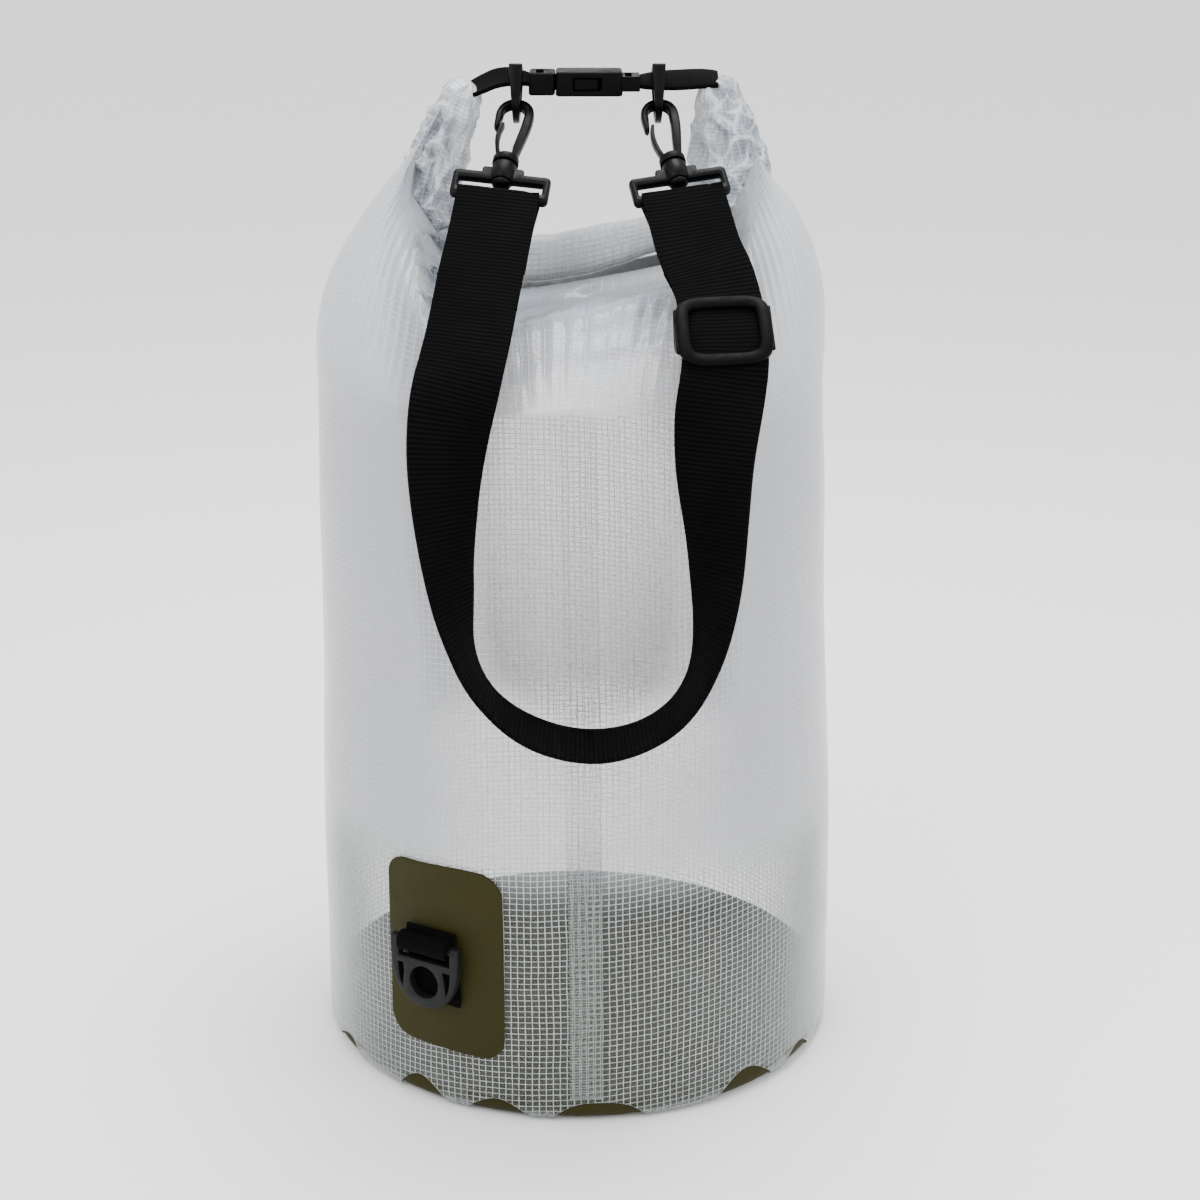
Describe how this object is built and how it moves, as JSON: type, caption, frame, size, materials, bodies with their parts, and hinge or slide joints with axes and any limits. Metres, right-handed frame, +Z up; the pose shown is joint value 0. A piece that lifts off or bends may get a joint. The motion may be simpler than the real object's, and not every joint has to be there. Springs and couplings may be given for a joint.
{
  "type": "roll-top dry bag",
  "caption": "Clear scrim-film roll-top dry bag with an olive welded base, buckled carry closure, snap-hooked webbing shoulder strap and a lug ring on a side patch.",
  "frame": {"origin": "middle of the base sheet, on the ground", "axes": "+Z up, -Y towards the front of the bag where the strap hangs, +X to the right"},
  "size_m": [0.238, 0.275, 0.4478],
  "materials": {
    "clear_film": "clear glossy film over a white square scrim",
    "seam_film": "welded double film, glossy",
    "olive_tarpaulin": "matt coated tarpaulin",
    "wide_webbing": "ribbed polyester webbing",
    "narrow_webbing": "fine ribbed webbing",
    "moulded_plastic": "satin moulded acetal",
    "buckle_plastic": "satin moulded acetal",
    "stiffener_plastic": "plain polyethylene strip"
  },
  "bodies": {
    "root": {"body_wall": "clear_film", "seam_strip": "seam_film", "base_disc": "olive_tarpaulin", "roll_centre": "clear_film", "mouth_stiffener": "stiffener_plastic", "roll_end_left": "clear_film", "roll_end_right": "clear_film", "closure_strap_left": "narrow_webbing", "closure_strap_right": "narrow_webbing", "buckle_socket": "buckle_plastic", "buckle_plug": "buckle_plastic", "ring_patch": "olive_tarpaulin", "patch_webbing": "narrow_webbing"},
    "prong_front": {"buckle_prong_front": "buckle_plastic"},
    "prong_back": {"buckle_prong_back": "buckle_plastic"},
    "ring_left": {"strap_ring_left": "moulded_plastic"},
    "ring_right": {"strap_ring_right": "moulded_plastic"},
    "strap": {"shoulder_strap": "wide_webbing", "swivel_frame_left": "moulded_plastic", "swivel_frame_right": "moulded_plastic"},
    "hook_left": {"hook_body_left": "moulded_plastic", "swivel_pin_left": "moulded_plastic"},
    "hook_right": {"hook_body_right": "moulded_plastic", "swivel_pin_right": "moulded_plastic"},
    "gate_left": {"hook_gate_left": "moulded_plastic"},
    "gate_right": {"hook_gate_right": "moulded_plastic"},
    "slider": {"strap_slider": "moulded_plastic", "strap_return": "wide_webbing"},
    "lug_ring": {"patch_ring": "moulded_plastic"}
  },
  "joints": [
    {"name": "strap_swing", "type": "hinge", "parent": "root", "child": "strap", "pos_m": [0, -0.00129, 0.43417], "axis": [-1, 0, 0], "range_deg": [0, 24]},
    {"name": "ring_left_swing", "type": "hinge", "parent": "root", "child": "ring_left", "pos_m": [-0.027, 0, 0.439], "axis": [-1, 0, 0], "range_deg": [-7, 7]},
    {"name": "ring_right_swing", "type": "hinge", "parent": "root", "child": "ring_right", "pos_m": [0.035, 0, 0.439], "axis": [-1, 0, 0], "range_deg": [-7, 7]},
    {"name": "hook_left_swivel", "type": "hinge", "parent": "strap", "child": "hook_left", "pos_m": [-0.027, -0.00992, 0.42641], "axis": [0.1392, 0.7359, 0.6626], "range_deg": [-18, 18]},
    {"name": "gate_left_spring", "type": "hinge", "parent": "hook_left", "child": "gate_left", "pos_m": [-0.034, -0.02824, 0.4099], "axis": [0, 0.6691, -0.7431], "range_deg": [0, 20], "stiffness_Nm_per_rad": 0.02},
    {"name": "hook_right_swivel", "type": "hinge", "parent": "strap", "child": "hook_right", "pos_m": [0.035, -0.00992, 0.42641], "axis": [-0.1908, 0.7295, 0.6568], "range_deg": [-18, 18]},
    {"name": "gate_right_spring", "type": "hinge", "parent": "hook_right", "child": "gate_right", "pos_m": [0.03641, -0.02894, 0.40928], "axis": [0, 0.6691, -0.7431], "range_deg": [0, 20], "stiffness_Nm_per_rad": 0.02},
    {"name": "slider_travel", "type": "slide", "parent": "strap", "child": "slider", "axis": [-0.1908, 0.7295, 0.6568], "range_m": [-0.002, 0.01]},
    {"name": "lug_ring_swing", "type": "hinge", "parent": "root", "child": "lug_ring", "pos_m": [-0.06582, -0.10826, 0.08], "axis": [-0.8545, 0.5195, 0], "range_deg": [0, 150]},
    {"name": "prong_front_squeeze", "type": "hinge", "parent": "root", "child": "prong_front", "pos_m": [-0.00955, -0.0087, 0.439], "axis": [0, 0, 1], "range_deg": [0, 8], "stiffness_Nm_per_rad": 0.05},
    {"name": "prong_back_squeeze", "type": "hinge", "parent": "root", "child": "prong_back", "pos_m": [-0.00955, 0.0087, 0.439], "axis": [0, 0, 1], "range_deg": [-8, 0], "stiffness_Nm_per_rad": 0.05}
  ],
  "couplings": [
    {"joint": "prong_back_squeeze", "follows": "prong_front_squeeze", "ratio": -1}
  ]
}
